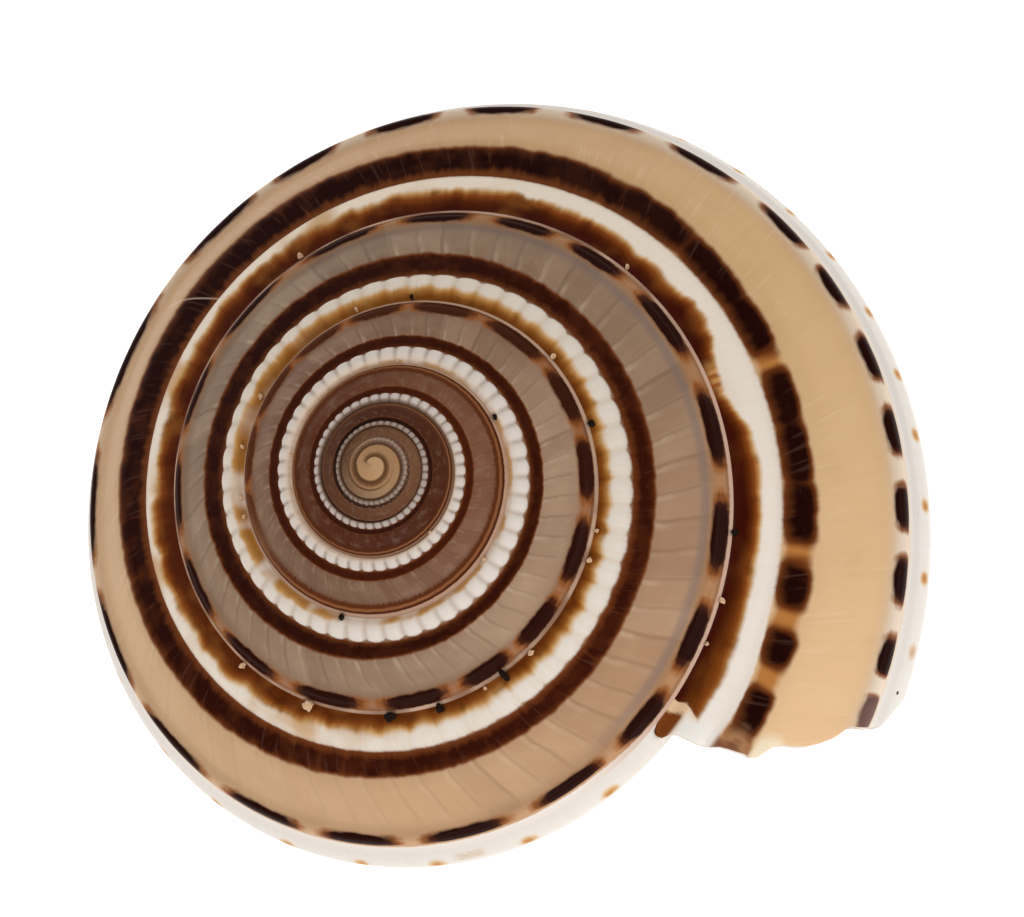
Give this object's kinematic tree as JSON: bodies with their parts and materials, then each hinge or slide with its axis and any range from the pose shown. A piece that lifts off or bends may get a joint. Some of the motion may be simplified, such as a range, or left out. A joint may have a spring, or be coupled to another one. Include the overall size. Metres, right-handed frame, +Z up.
{
  "type": "sundial shell",
  "caption": "Low, round, right-coiled sea snail shell with a beaded spiral spire, a spotted rim, a wide open umbilicus and an empty mouth, lying on its base.",
  "frame": {"origin": "on the surface that the shell lies on, under the middle of its bounding box", "axes": "+Z up with the spire, +X from the middle towards the lip, which closes the last whorl at the side of +X; the mouth faces -Y"},
  "size_m": [0.054, 0.0516, 0.024],
  "materials": {
    "shell": "natural gloss, tan with dark brown bands and blotches and white beaded ribs",
    "sand": "matt grains caught in the seam"
  },
  "bodies": {
    "root": {"shell": "shell"}
  },
  "joints": []
}
